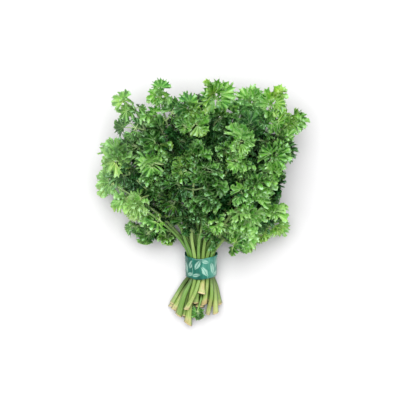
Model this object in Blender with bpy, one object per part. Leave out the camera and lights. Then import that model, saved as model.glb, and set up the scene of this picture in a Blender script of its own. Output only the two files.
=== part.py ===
"""Curly parsley bunch: leafy stems held by a tape band, lying on a table.

Metres, +Z up. The bunch lies along Y with its leaves towards +Y and its cut ends towards -Y.
The table is z = 0, and the origin is the middle of the bunch's outline on it.
"""

import math
import random
from collections import namedtuple

import bmesh
import bpy
import numpy as np
from mathutils import Quaternion, Vector
from mathutils.bvhtree import BVHTree

MM = 0.001
GOLDEN_ANGLE = math.pi * (3 - math.sqrt(5))
UP = Vector((0, 0, 1))
SEED = 14

# The tape band, whose axis rises from the cut ends to the leaves
BAND_TILT = math.radians(18)
BAND_CENTRE = Vector((0, -63.5 * MM, 15.6 * MM))
BAND_HALF_WIDTH = 16.4 * MM
BAND_HALF_DEPTH = 13.6 * MM
BAND_HEIGHT = 23 * MM
BAND_WALL = 1.0 * MM
BAND_FLARE = 0.05
BAND_LAP_ANGLE = math.radians(40)
BAND_LAP_START = math.radians(82)
BAND_LAP_STEP = 0.5 * MM
BAND_SIDES = 40

# The stems' thickness, and the gap that they keep from each other
STEM_SIDES = 5
STEM_CUT_RADII = (2.4 * MM, 3.1 * MM, 2.2 * MM, 3.5 * MM, 2.6 * MM, 2.3 * MM, 3.2 * MM)
STEM_BAND_RADIUS = 1.95 * MM
STEM_TIP_RADIUS = 0.9 * MM
STEM_TAPER = 0.8
STEM_GAP = 0.4 * MM

# The stems' cut ends, below the band: spread, swayed, longest left of the middle, short over it
CUT_LENGTH = 43 * MM
CUT_STEPS = (0, 4 * MM, -3 * MM, 2 * MM, -5 * MM)
CUT_SWAYS = (0, 1.6 * MM, -1.2 * MM, 2.4 * MM, -0.6 * MM, -2.2 * MM, 1 * MM)
LONG_CUT = 13 * MM
LONG_CUT_PLACE = -0.34
LONG_CUT_WIDTH = 0.22
SHORT_CUT = 20 * MM
SHORT_CUT_PLACE = 0.08
SHORT_CUT_WIDTH = 0.2
SIDE_CUT = 8 * MM
CUT_SPREAD = (1.5, 0.70)
CUT_SHIFT = -7 * MM
CUT_JOINT = 0.55

# The stems' sweep from the band to their tips
SWEEP_STATIONS = (0.16, 0.34, 0.54, 0.76, 1)
SWEEP_FAN = 0.45
SWEEP_START = 0.36
SWEEP_END = 0.30
SWEEP_FACING = 0.25

# How the stems' lines are pushed apart
SPREAD_ROUNDS = 160
SPREAD_STEPS = 6
SPREAD_REFRESH = 20
SPREAD_REACH = 6 * MM
SPREAD_RATE = 0.3

# The leaves: each a flat stalk with a fan of three toothed lobes, cupped and waved
STALK_WIDTH = 1.8 * MM
BLADE_THICKNESS = 0.8 * MM
BLADE_CLEARANCE = 0.35 * MM
FAN_SHARE = 0.62
CUP_SHARE = 0.22
WAVE_SHARE = 0.07
NOTCH_REACH = 0.85
HALF_FAN = (  # degrees from the middle, and reach as a share of the fan's
    (11, 0.80),
    (24, 0.93),
    (36, 0.42),
    (50, 0.88),
    (66, 0.66),
    (84, 0.80),
)
FAN_OUTLINE = [(-angle, reach) for angle, reach in reversed(HALF_FAN)] + [(0, 1.0), *HALF_FAN]

# Where the leaves stand on a stem, as shares of the part that bears them
BEARING_SPANS = 1.5
MOST_BEARING = 0.5
TIP_STALK = 0.12
PAIR_STALK = (0.50, -0.36)
PAIR_SHRINK = 0.15
PAIR_TURN = (0.85, 1.15)
PAIR_PLACES = {0: (), 1: (0.45,), 2: (0.15, 0.60), 3: (0.0, 0.36, 0.68), 4: (-0.15, 0.2, 0.48, 0.74)}

# How a leaf's lie varies, in radians: at the first try, and more at each later one
PLACE_TRIES = 26
PITCH_RANGE = (-0.1, 0.35)
YAW = 0.12
ROLL = 0.25
SIZE_RANGE = (0.9, 1.1)
LATE_PITCH = 0.45
LATE_YAW = 0.45
LATE_ROLL = 0.4
LATE_SHRINK = 0.4

# The crown of leaves as an ellipsoid, which the leaves face out of, and up besides
CROWN_CENTRE = Vector((2 * MM, 32 * MM, 44 * MM))
CROWN_HALF = Vector((105 * MM, 92 * MM, 54 * MM))
FACE_UP = 2.0
FACE_UP_FROM = -0.3

LeafyStem = namedtuple("LeafyStem", "name tip span pairs")
Leaf = namedtuple("Leaf", "root axis normal stalk fan")

# Each tip is the end of a stem, in mm. The span sets how far its leaves reach, and pairs their number
LEAFY_STEMS = tuple(
    LeafyStem(name, Vector(tip) * MM, span * MM, pairs)
    for name, tip, span, pairs in (
        ("top_middle", (-12, 86, 76), 40, 4),
        ("middle", (-6, 42, 86), 38, 3),
        ("middle_left", (-42, 52, 78), 38, 3),
        ("middle_right", (34, 56, 84), 38, 4),
        ("right_front", (52, 14, 74), 36, 3),
        ("lower_middle", (8, 4, 72), 32, 3),
        ("left_front", (-38, 22, 70), 34, 2),
        ("left_shoulder", (-80, 38, 54), 38, 4),
        ("left", (-86, 17, 38), 38, 3),
        ("lower_left", (-60, -4, 56), 34, 1),
        ("left_sprig", (-65, 91, 42), 42, 3),
        ("top_left", (-40, 100, 50), 40, 3),
        ("top", (16, 98, 54), 42, 3),
        ("top_inner", (44, 97, 47), 38, 3),
        ("top_right", (68, 92, 56), 42, 4),
        ("right_corner", (85, 78, 42), 40, 4),
        ("right_shoulder", (69, 42, 64), 38, 4),
        ("right", (75, 9, 40), 38, 4),
        ("lower_right", (67, -13, 46), 36, 3),
        ("low_right", (71, -24, 28), 27, 2),
        ("low_middle_right", (35, -16, 52), 26, 3),
        ("hanging_left", (-63, -24, 20), 26, 2),
        ("hanging_near", (-41, -32, 18), 17, 1),
        ("under_left", (-58, 46, 13), 40, 3),
        ("under_top", (-4, 84, 14), 40, 3),
        ("under_right", (54, 50, 12), 38, 3),
        ("under_near", (2, 14, 12), 32, 2),
    )
)
BASE_LEAF = LeafyStem("base_leaf", Vector((-3, -111, 12)) * MM, 15 * MM, 0)
BASE_STATIONS = (0, 0.35, 0.7, 1)


def band_frame():
    """The band's axis, towards the leaves, and its two cross directions."""
    along = Vector((0, math.cos(BAND_TILT), math.sin(BAND_TILT)))
    return along, Vector((1, 0, 0)), Vector((0, -math.sin(BAND_TILT), math.cos(BAND_TILT)))


def band_point(across, up, distance):
    """A point of the tied bundle: a spot in the band's section, and how far along its axis."""
    along, side, over = band_frame()
    flare = 1 + BAND_FLARE * distance / BAND_HEIGHT
    return BAND_CENTRE + along * distance + side * (across * flare) + over * (up * flare)


def pack_spots(count):
    """Where the stems pass the band: a sunflower spread, pushed apart inside an oval."""
    inset = BAND_WALL + STEM_BAND_RADIUS + STEM_GAP
    half = np.array([BAND_HALF_WIDTH - inset, BAND_HALF_DEPTH - inset])
    order = np.arange(count)
    radius = np.sqrt((order + 0.5) / count)
    spots = np.stack([np.cos(order * GOLDEN_ANGLE), np.sin(order * GOLDEN_ANGLE)], 1)
    spots *= radius[:, None] * half
    wanted = 2.4 * STEM_BAND_RADIUS
    for _ in range(400):
        gaps = spots[:, None] - spots[None]
        distance = np.linalg.norm(gaps, axis=2) + np.eye(count)
        push = np.clip(wanted - distance, 0, None) * (1 - np.eye(count))
        spots += 0.3 * (gaps / distance[..., None] * push[..., None]).sum(1)
        reach = np.sqrt(((spots / half) ** 2).sum(1))
        spots /= np.maximum(reach, 1)[:, None]
    return spots


def deal_spots(stems, spots):
    """Gives each stem the spot on the side that its tip lies, by swapping until no swap helps."""
    headings = []
    for stem in stems:
        away = stem.tip - BAND_CENTRE
        forward = abs(away.y) + 70 * MM
        headings.append((away.x / forward, (away.z - 20 * MM) / forward * 1.3))
    headings = np.array(headings)
    headings /= np.abs(headings).max(0)
    places = spots / np.abs(spots).max(0)
    dealt = list(range(len(stems)))

    def cost(stem, spot):
        return float(((headings[stem] - places[spot]) ** 2).sum())

    better = True
    while better:
        better = False
        for a in range(len(dealt)):
            for b in range(a + 1, len(dealt)):
                now = cost(a, dealt[a]) + cost(b, dealt[b])
                swapped = cost(a, dealt[b]) + cost(b, dealt[a])
                if swapped < now - 1e-12:
                    dealt[a], dealt[b] = dealt[b], dealt[a]
                    better = True
    return [spots[i] for i in dealt]


def bezier(start, start_pull, end_pull, end, t):
    s = 1 - t
    return s * s * s * start + 3 * s * s * t * start_pull + 3 * s * t * t * end_pull + t * t * t * end


def outward(point):
    """The way that a leaf faces at a point of the crown."""
    away = point - CROWN_CENTRE
    facing = Vector([away[i] / CROWN_HALF[i] ** 2 for i in range(3)]).normalized()
    facing.z += FACE_UP * max(facing.z - FACE_UP_FROM, 0)
    return facing.normalized()


def stem_path(stem, spot, number):
    """A stem's line from its cut end, through the band, to its tip."""
    along = band_frame()[0]
    across, up = spot
    half = BAND_HEIGHT / 2
    if stem is BASE_LEAF:
        above = [band_point(across, up, half + 10 * MM), band_point(across, up, half)]
        low = band_point(across, up, -half)
        return above + [low.lerp(stem.tip, share) for share in BASE_STATIONS]
    place = across / BAND_HALF_WIDTH
    cut_length = CUT_LENGTH + CUT_STEPS[number % len(CUT_STEPS)]
    cut_length += SIDE_CUT * abs(place)
    cut_length += LONG_CUT * math.exp(-(((place - LONG_CUT_PLACE) / LONG_CUT_WIDTH) ** 2))
    if up > 0:
        cut_length -= SHORT_CUT * math.exp(-(((place - SHORT_CUT_PLACE) / SHORT_CUT_WIDTH) ** 2))
    cut = band_point(across * CUT_SPREAD[0], up * CUT_SPREAD[1], -cut_length)
    cut.x += CUT_SHIFT + CUT_SWAYS[number % len(CUT_SWAYS)]
    low, high = band_point(across, up, -half), band_point(across, up, half)
    length = (stem.tip - high).length
    fan = Vector((across, 0, up)) / BAND_HALF_WIDTH
    leaving = (along + SWEEP_FAN * fan).normalized()
    arriving = ((stem.tip - high).normalized() + SWEEP_FACING * outward(stem.tip)).normalized()
    start_pull = high + leaving * length * SWEEP_START
    end_pull = stem.tip - arriving * length * SWEEP_END
    sweep = [bezier(high, start_pull, end_pull, stem.tip, t) for t in SWEEP_STATIONS]
    return [cut, cut.lerp(low, CUT_JOINT), low, high, *sweep]


def stem_radii(stem, count, number):
    """Thick at the cut end, even in the band and slender at the tip."""
    if stem is BASE_LEAF:
        return np.linspace(0.75, 0.55, count) * STEM_BAND_RADIUS
    above = np.linspace(0, 1, count - 3)
    tapering = STEM_BAND_RADIUS + (STEM_TIP_RADIUS - STEM_BAND_RADIUS) * above**STEM_TAPER
    cut = STEM_CUT_RADII[number % len(STEM_CUT_RADII)]
    return np.concatenate([[cut, (cut + STEM_BAND_RADIUS) / 2, STEM_BAND_RADIUS], tapering])


def inside_band(points, thick):
    """How far each point must move to keep its stem clear of the band's inner wall."""
    along, side, over = (np.array(way) for way in band_frame())
    away = points - np.array(BAND_CENTRE)
    distance, across, up = away @ along, away @ side, away @ over
    flare = 1 + BAND_FLARE * distance / BAND_HEIGHT
    inset = BAND_WALL + STEM_GAP + thick
    reach = np.hypot(across / (BAND_HALF_WIDTH * flare - inset), up / (BAND_HALF_DEPTH * flare - inset))
    over_reach = np.clip(1 - 1 / np.maximum(reach, 1e-6), 0, None)
    over_reach *= np.abs(distance) < BAND_HEIGHT / 2 + 3 * MM
    return -over_reach[:, None] * (across[:, None] * side + up[:, None] * over)


def spread_stems(paths, radii):
    """Pushes the stems' lines apart, and off the table, until none touches another."""
    lines = [np.array(path) for path in paths]
    owner, weights, thick = [], [], []
    for number, line in enumerate(lines):
        count = len(line)
        at = np.linspace(0, count - 1, (count - 1) * SPREAD_STEPS + 1)
        low = np.minimum(at.astype(int), count - 2)
        matrix = np.zeros((len(at), count))
        matrix[np.arange(len(at)), low] = 1 - (at - low)
        matrix[np.arange(len(at)), low + 1] = at - low
        weights.append(matrix)
        owner.append(np.full(len(at), number))
        thick.append(matrix @ radii[number])
    owner, thick = np.concatenate(owner), np.concatenate(thick)
    for turn in range(SPREAD_ROUNDS):
        dense = [matrix @ line for matrix, line in zip(weights, lines)]
        points = np.concatenate(dense)
        tangents = np.concatenate([np.gradient(line, axis=0) for line in dense])
        step = np.linalg.norm(tangents, axis=1)
        tangents /= step[:, None]
        if turn % SPREAD_REFRESH == 0:
            gaps = np.linalg.norm(points[:, None] - points[None], axis=2)
            reach = thick[:, None] + thick[None] + SPREAD_REACH
            one, two = np.nonzero((gaps < reach) & (owner[:, None] != owner[None]))
        apart = points[one] - points[two]
        lengthways = (apart * tangents[two]).sum(1)
        sideways = apart - lengthways[:, None] * tangents[two]
        distance = np.linalg.norm(sideways, axis=1) + 1e-9
        wanted = thick[one] + thick[two] + STEM_GAP
        push = np.where(np.abs(lengthways) < 0.7 * step[two], wanted - distance, 0)
        push = SPREAD_RATE * np.clip(push, 0, None) / distance
        moves = np.zeros_like(points)
        for axis in range(3):
            moves[:, axis] = np.bincount(one, push * sideways[:, axis], len(points))
        moves[:, 2] += np.clip(1.06 * thick - points[:, 2], 0, None)
        moves += inside_band(points, thick)
        start = 0
        for number, matrix in enumerate(weights):
            mine = moves[start : start + len(matrix)]
            start += len(matrix)
            lines[number] = lines[number] + (matrix.T @ mine) / matrix.sum(0)[:, None]
    for line, radius in zip(lines, radii):
        line[:, 2] = np.maximum(line[:, 2], 1.03 * radius)
    return [[Vector(point) for point in np.round(line, 6)] for line in lines]


def tube(points, radii, sides):
    """A closed tube along a line: points, then triangles."""
    made, faces = [], []
    across = None
    count = len(points)
    for k, point in enumerate(points):
        before, after = points[max(k - 1, 0)], points[min(k + 1, count - 1)]
        tangent = (after - before).normalized()
        if across is None:
            across = tangent.orthogonal().normalized()
        across = (across - tangent * across.dot(tangent)).normalized()
        over = tangent.cross(across)
        for side in range(sides):
            turn = 2 * math.pi * side / sides
            made.append(point + (across * math.cos(turn) + over * math.sin(turn)) * radii[k])
    for k in range(count - 1):
        for side in range(sides):
            a = k * sides + side
            b = k * sides + (side + 1) % sides
            faces += [(a, b, b + sides), (a, b + sides, a + sides)]
    last = (count - 1) * sides
    for side in range(1, sides - 1):
        faces += [(0, side + 1, side), (last, last + side, last + side + 1)]
    return made, faces


def blade_middle(leaf):
    """The outline of a leaf, counterclockwise, halfway through its thickness."""
    left = leaf.normal.cross(leaf.axis)
    neck = leaf.root + leaf.axis * leaf.stalk
    half_width = left * (STALK_WIDTH / 2)
    fan = []
    for degrees, reach in FAN_OUTLINE:
        angle = math.radians(degrees)
        lift = CUP_SHARE * reach * reach + WAVE_SHARE * (1 if reach > NOTCH_REACH else -1)
        flat = leaf.axis * math.cos(angle) + left * math.sin(angle)
        fan.append(neck + (flat * reach + leaf.normal * lift) * leaf.fan)
    return [leaf.root - half_width, neck - half_width, *fan, neck + half_width, leaf.root + half_width]


def blade(leaf, extra=0.0):
    """A closed blade, split alike on both faces, and kept above the table."""
    half = BLADE_THICKNESS / 2 + extra
    middle = blade_middle(leaf)
    for point in middle[1:-1]:
        point.z = max(point.z, BLADE_THICKNESS / 2)
    count = len(middle)
    points = [point + leaf.normal * half for point in middle]
    points += [point - leaf.normal * half for point in middle]
    neck_right, neck_left, root_left = 1, count - 2, count - 1
    centre = count // 2
    split = [(0, neck_right, neck_left), (0, neck_left, root_left), (neck_right, centre, neck_left)]
    split += [(neck_right, k, k + 1) for k in range(2, centre)]
    split += [(neck_left, k, k + 1) for k in range(centre, count - 3)]
    faces = []
    for a, b, c in split:
        faces += [(a, b, c), (a + count, c + count, b + count)]
    for k in range(count):
        after = (k + 1) % count
        faces += [(k, k + count, after + count), (k, after + count, after)]
    return points, faces


def turned(vector, axis, angle):
    return Quaternion(axis, angle) @ vector


def bend_above_table(leaf):
    """Turns a leaf up until it clears the table, as one that lies on it does."""
    reach = leaf.stalk + leaf.fan
    for _ in range(5):
        below = BLADE_THICKNESS / 2 - min(point.z for point in blade_middle(leaf)[2:-2])
        level = leaf.axis.cross(UP)
        if below <= 0 or level.length < 0.1:
            break
        turn = Quaternion(level.normalized(), min(1.1 * below / reach, 0.6))
        leaf = leaf._replace(axis=turn @ leaf.axis, normal=turn @ leaf.normal)
    return leaf


class Grove:
    """Everything placed so far, as triangles by owner, to keep new pieces clear of it."""

    def __init__(self):
        self.placed = {}
        self.tree = None

    def add(self, owner, shape):
        self.placed.setdefault(owner, []).append(shape)

    @staticmethod
    def tree_of(shapes):
        points, faces = [], []
        for made, triangles in shapes:
            first = len(points)
            points += made
            faces += [tuple(first + i for i in face) for face in triangles]
        return BVHTree.FromPolygons(points, faces, all_triangles=True)

    def look_from(self, owner):
        """Readies the tests for pieces of one owner, which may touch only its own."""
        others = [s for name, shapes in self.placed.items() if name != owner for s in shapes]
        self.tree = self.tree_of(others)

    def touches(self, shape):
        return bool(self.tree.overlap(self.tree_of([shape])))


def path_point(path, share):
    """The point and heading at a share of the path's length."""
    lengths = [0.0]
    for a, b in zip(path, path[1:]):
        lengths.append(lengths[-1] + (b - a).length)
    wanted = share * lengths[-1]
    for k in range(1, len(path)):
        if lengths[k] >= wanted or k == len(path) - 1:
            part = (wanted - lengths[k - 1]) / (lengths[k] - lengths[k - 1])
            return path[k - 1].lerp(path[k], part), (path[k] - path[k - 1]).normalized()


def path_length(path):
    return sum((b - a).length for a, b in zip(path, path[1:]))


def place_leaf(grove, own, root, way, facing, stalk, fan, draw):
    """Tries leaves at a root until one clears the other stems, best clear of its own stem's too."""
    fallback = None
    for attempt in range(PLACE_TRIES):
        ease = attempt / PLACE_TRIES
        across = way.cross(facing).normalized()
        pitch = draw.uniform(*PITCH_RANGE) + draw.gauss(0, LATE_PITCH * ease)
        yaw = draw.gauss(0, YAW + LATE_YAW * ease)
        roll = draw.gauss(0, ROLL + LATE_ROLL * ease)
        axis = turned(turned(way, across, pitch), facing, yaw).normalized()
        normal = turned(turned(facing, across, pitch), axis, roll)
        normal = (normal - axis * normal.dot(axis)).normalized()
        size = draw.uniform(*SIZE_RANGE) * (1 - LATE_SHRINK * ease)
        leaf = bend_above_table(Leaf(root, axis, normal, stalk * size, fan * size))
        if grove.touches(blade(leaf, BLADE_CLEARANCE)):
            continue
        outer = leaf._replace(root=root + axis * (0.5 * stalk * size), stalk=0.5 * stalk * size)
        if Grove.tree_of(own).overlap(Grove.tree_of([blade(outer)])):
            fallback = fallback or leaf
            continue
        return leaf
    return fallback


def grow_leaves(stem, path, skin, grove, draw):
    """The leaves of one leafy stem: pairs along its rib and one at its tip."""
    bearing = min(BEARING_SPANS * stem.span / path_length(path), MOST_BEARING)
    fan = FAN_SHARE * stem.span
    leaves, own = [], [skin]

    def put(place, turn, stalk, size):
        root, heading = path_point(path, 1 - bearing * (1 - place))
        facing = outward(root)
        facing = (facing - heading * facing.dot(heading)).normalized()
        way = turned(heading, facing, turn)
        made = place_leaf(grove, own, root, way, facing, stalk, size, draw)
        if made:
            leaves.append(made)
            own.append(blade(made))

    put(1, 0, TIP_STALK * stem.span, fan)
    for place in PAIR_PLACES[stem.pairs]:
        stalk = stem.span * (PAIR_STALK[0] + PAIR_STALK[1] * place)
        for hand in (-1, 1):
            put(place, hand * draw.uniform(*PAIR_TURN), stalk, fan * (1 - PAIR_SHRINK * place))
    return leaves


def grow_bunch():
    """Every leafy stem with its path, radii and leaves."""
    stems = [*LEAFY_STEMS, BASE_LEAF]
    spots = deal_spots(stems, pack_spots(len(stems)))
    paths = [stem_path(stem, spot, i) for i, (stem, spot) in enumerate(zip(stems, spots))]
    radii = [stem_radii(stem, len(path), i) for i, (stem, path) in enumerate(zip(stems, paths))]
    paths = spread_stems(paths, radii)
    grove = Grove()
    for stem, path, radius in zip(stems, paths, radii):
        grove.add(stem.name, tube(path, radius + BLADE_CLEARANCE, STEM_SIDES))
    grove.add("tie_band", band_shape())
    grown = []
    for number, (stem, path, radius) in enumerate(zip(stems, paths, radii)):
        draw = random.Random(SEED + number)
        grove.look_from(stem.name)
        leaves = grow_leaves(stem, path, tube(path, radius, STEM_SIDES), grove, draw)
        for leaf in leaves:
            grove.add(stem.name, blade(leaf))
        grown.append((stem, path, radius, leaves))
    return grown


def band_shape():
    """The tape: a flared oval ring, thicker where its end laps over its start."""
    points, faces = [], []
    for distance in (-BAND_HEIGHT / 2, BAND_HEIGHT / 2):
        for inner in (False, True):
            for side in range(BAND_SIDES):
                angle = 2 * math.pi * side / BAND_SIDES
                lapped = 0 <= angle - BAND_LAP_START <= BAND_LAP_ANGLE
                inset = BAND_WALL if inner else -BAND_LAP_STEP * lapped
                across = (BAND_HALF_WIDTH - inset) * math.cos(angle)
                up = (BAND_HALF_DEPTH - inset) * math.sin(angle)
                points.append(band_point(across, up, distance))
    low_out, low_in, high_out, high_in = (k * BAND_SIDES for k in range(4))
    for side in range(BAND_SIDES):
        after = (side + 1) % BAND_SIDES
        for a, b in (
            (low_out, high_out),
            (high_in, low_in),
            (high_out, high_in),
            (low_in, low_out),
        ):
            faces += [(a + side, a + after, b + after), (a + side, b + after, b + side)]
    return points, faces


def material(name, colour, roughness):
    made = bpy.data.materials.new(name)
    made.use_nodes = True
    shader = made.node_tree.nodes["Principled BSDF"]
    shader.inputs["Base Color"].default_value = (*colour, 1)
    shader.inputs["Roughness"].default_value = roughness
    shader.inputs["Metallic"].default_value = 0
    return made


def mesh_object(name, shape, collection, finish=None):
    points, faces = shape
    mesh = bpy.data.meshes.new(name)
    mesh.from_pydata([tuple(point) for point in points], [], faces)
    mesh.validate()
    if finish:
        mesh.materials.append(finish)
    made = bpy.data.objects.new(name, mesh)
    collection.objects.link(made)
    return made


def apply_boolean(target, operation, solver, collection=None, cutter=None):
    """Applies one Boolean to an object's mesh and drops the helpers."""
    modifier = target.modifiers.new("join", "BOOLEAN")
    modifier.operation = operation
    modifier.solver = solver
    if collection:
        modifier.operand_type = "COLLECTION"
        modifier.collection = collection
    else:
        modifier.object = cutter
    graph = bpy.context.evaluated_depsgraph_get()
    made = bpy.data.meshes.new_from_object(target.evaluated_get(graph))
    target.modifiers.clear()
    target.data = made
    for helper in list(collection.objects) if collection else [cutter]:
        bpy.data.objects.remove(helper)
    if collection:
        bpy.data.collections.remove(collection)


def keep_outer_skin(obj):
    """Drops what a union leaves besides its outer skin: closed pockets between crossing pieces."""
    skin = bmesh.new()
    skin.from_mesh(obj.data)
    waiting, islands = set(skin.faces), []
    while waiting:
        island, edge = set(), [waiting.pop()]
        while edge:
            face = edge.pop()
            island.add(face)
            near = {other for side in face.edges for other in side.link_faces}
            fresh = near & waiting
            waiting -= fresh
            edge += fresh
        islands.append(island)
    outer = max(islands, key=len)
    pockets = [face for island in islands if island is not outer for face in island]
    bmesh.ops.delete(skin, geom=pockets, context="FACES")
    skin.to_mesh(obj.data)
    skin.free()


def make_leafy_stem(stem, path, radii, leaves, finish):
    """One leafy stem as one solid: its stem and its cut and lobed leaves joined."""
    name = stem.name if stem is BASE_LEAF else "leafy_stem_" + stem.name
    scene = bpy.context.scene.collection
    made = mesh_object(name, tube(path, radii, STEM_SIDES), scene, finish)
    pieces = bpy.data.collections.new(name + "_pieces")
    scene.children.link(pieces)
    for number, leaf in enumerate(leaves):
        mesh_object(f"leaf_{number}", blade(leaf), pieces)
    apply_boolean(made, "UNION", "MANIFOLD", collection=pieces)
    keep_outer_skin(made)
    return made


def make_band(finish):
    """The tape band, pressed flat where it lies on the table."""
    made = mesh_object("tie_band", band_shape(), bpy.context.scene.collection, finish)
    side = 3 * BAND_HEIGHT
    bpy.ops.mesh.primitive_cube_add(size=side, location=(0, BAND_CENTRE.y, -side / 2))
    apply_boolean(made, "DIFFERENCE", "EXACT", cutter=bpy.context.object)
    return made


def main():
    for obj in list(bpy.data.objects):
        bpy.data.objects.remove(obj)
    green = material("parsley_green", (0.10, 0.24, 0.045), 0.5)
    tape = material("teal_tape", (0.02, 0.30, 0.22), 0.35)
    make_band(tape)
    for stem, path, radii, leaves in grow_bunch():
        make_leafy_stem(stem, path, radii, leaves, green)


main()
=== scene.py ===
"""The dressed parsley bunch: curly leaflets on grooved stems, tied with a printed tape.

Metres, +Z up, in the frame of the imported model. The layout repeats that of the model's source, so
that each leaf here grows where its solid is.
"""

import math
import random
from collections import namedtuple
from itertools import combinations

import bpy
import numpy as np
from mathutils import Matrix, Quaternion, Vector
from mathutils.bvhtree import BVHTree


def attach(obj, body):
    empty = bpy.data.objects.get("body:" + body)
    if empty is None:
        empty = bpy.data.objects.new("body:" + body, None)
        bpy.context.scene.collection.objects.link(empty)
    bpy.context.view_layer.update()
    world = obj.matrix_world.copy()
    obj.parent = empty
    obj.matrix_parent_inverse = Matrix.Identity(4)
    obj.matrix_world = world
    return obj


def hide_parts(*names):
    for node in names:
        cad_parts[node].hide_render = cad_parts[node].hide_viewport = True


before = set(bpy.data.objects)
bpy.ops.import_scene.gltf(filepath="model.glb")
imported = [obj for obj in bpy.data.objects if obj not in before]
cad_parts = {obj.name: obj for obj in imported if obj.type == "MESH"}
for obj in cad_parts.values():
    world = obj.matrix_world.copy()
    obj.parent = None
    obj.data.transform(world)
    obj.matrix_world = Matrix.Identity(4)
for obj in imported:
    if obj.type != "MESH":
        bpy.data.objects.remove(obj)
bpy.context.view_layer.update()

MM = 0.001
GOLDEN_ANGLE = math.pi * (3 - math.sqrt(5))
UP = Vector((0, 0, 1))
SEED = 14
DRESSING_SEED = 1000

# The tape band, whose axis rises from the cut ends to the leaves
BAND_TILT = math.radians(18)
BAND_CENTRE = Vector((0, -63.5 * MM, 15.6 * MM))
BAND_HALF_WIDTH = 16.4 * MM
BAND_HALF_DEPTH = 13.6 * MM
BAND_HEIGHT = 23 * MM
BAND_WALL = 1.0 * MM
BAND_FLARE = 0.05
BAND_LAP_ANGLE = math.radians(40)
BAND_LAP_START = math.radians(82)
BAND_LAP_STEP = 0.5 * MM
BAND_SIDES = 40
BAND_END_ROOM = 3 * MM

# The stems' thickness, and the gap that they keep from each other
STEM_SIDES = 5
STEM_CUT_RADII = (2.4 * MM, 3.1 * MM, 2.2 * MM, 3.5 * MM, 2.6 * MM, 2.3 * MM, 3.2 * MM)
STEM_BAND_RADIUS = 1.95 * MM
STEM_TIP_RADIUS = 0.9 * MM
STEM_TAPER = 0.8
STEM_GAP = 0.4 * MM

# The stems' cut ends, below the band: spread, swayed, longest left of the middle, short over it.
# A long or short cut has its length, its place as a share of the band's half width, and its width
CUT_LENGTH = 43 * MM
CUT_STEPS = (0, 4 * MM, -3 * MM, 2 * MM, -5 * MM)
CUT_SWAYS = (0, 1.6 * MM, -1.2 * MM, 2.4 * MM, -0.6 * MM, -2.2 * MM, 1 * MM)
LONG_CUT = (13 * MM, -0.34, 0.22)
SHORT_CUT = (20 * MM, 0.08, 0.2)
SIDE_CUT = 8 * MM
CUT_SPREAD = (1.5, 0.70)
CUT_SHIFT = -7 * MM
CUT_JOINT = 0.55

# How the stems share the room in the band, in their radii, and by the way that their tips lie
SPOT_GAP = 2.4
SPOT_ROUNDS = 400
HEADING_AHEAD = 70 * MM
HEADING_LEVEL = 20 * MM
HEADING_RISE = 1.3
LEAST_GAIN = 1e-12

# The stems' sweep from the band to their tips
SWEEP_STATIONS = (0.16, 0.34, 0.54, 0.76, 1)
SWEEP_FAN = 0.45
SWEEP_START = 0.36
SWEEP_END = 0.30
SWEEP_FACING = 0.25

# How the stems' lines are pushed apart
SPREAD_ROUNDS = 160
SPREAD_STEPS = 6
SPREAD_REFRESH = 20
SPREAD_REACH = 6 * MM
SPREAD_RATE = 0.3
SPREAD_ABREAST = 0.7

# The height of a stem's middle over the table, in its radii: wanted, and the least
TABLE_WANTED = 1.06
TABLE_LEAST = 1.03

# The leaves: each a flat stalk with a fan of three toothed lobes, cupped and waved
STALK_WIDTH = 1.8 * MM
BLADE_THICKNESS = 0.8 * MM
BLADE_CLEARANCE = 0.35 * MM
FAN_SHARE = 0.62
CUP_SHARE = 0.22
WAVE_SHARE = 0.07
NOTCH_REACH = 0.85
# Half the fan's outline: degrees from the middle, and reach as a share of the fan's
HALF_FAN = ((11, 0.80), (24, 0.93), (36, 0.42), (50, 0.88), (66, 0.66), (84, 0.80))
FAN_OUTLINE = [(-angle, reach) for angle, reach in reversed(HALF_FAN)] + [(0, 1.0), *HALF_FAN]

# The leaves of a stem: the part that bears them, their stalks as shares of its span, their turns in
# radians, and the places of each number of pairs along that part
BEARING_SPANS = 1.5
MOST_BEARING = 0.5
TIP_STALK = 0.12
PAIR_STALK = (0.50, -0.36)
PAIR_SHRINK = 0.15
PAIR_TURN = (0.85, 1.15)
PAIR_PLACES = {0: (), 1: (0.45,), 2: (0.15, 0.60), 3: (0.0, 0.36, 0.68), 4: (-0.15, 0.2, 0.48, 0.74)}

# How a leaf's lie varies, in radians: at the first try, and more at each later one
PLACE_TRIES = 26
OWN_SHARE = 0.5  # of a leaf's stalk may touch its own stem
PITCH_RANGE = (-0.1, 0.35)
YAW = 0.12
ROLL = 0.25
SIZE_RANGE = (0.9, 1.1)
LATE_PITCH = 0.45
LATE_YAW = 0.45
LATE_ROLL = 0.4
LATE_SHRINK = 0.4

# How a leaf that dips into the table is turned up, unless it stands upright
BEND_TRIES = 5
BEND_RATE = 1.1
MOST_BEND = 0.6
UPRIGHT = 0.1

# The crown of leaves as an ellipsoid, which the leaves face out of, and up besides
CROWN_CENTRE = Vector((2 * MM, 32 * MM, 44 * MM))
CROWN_HALF = Vector((105 * MM, 92 * MM, 54 * MM))
FACE_UP = 2.0
FACE_UP_FROM = -0.3

LeafyStem = namedtuple("LeafyStem", "name tip span pairs")
Leaf = namedtuple("Leaf", "root axis normal stalk fan")

# Points of a mesh and their marks, rows x columns x 3, with a tint, the number of a material, and
# whether each row closes
Grid = namedtuple("Grid", "points place tint kind closed")

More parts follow.
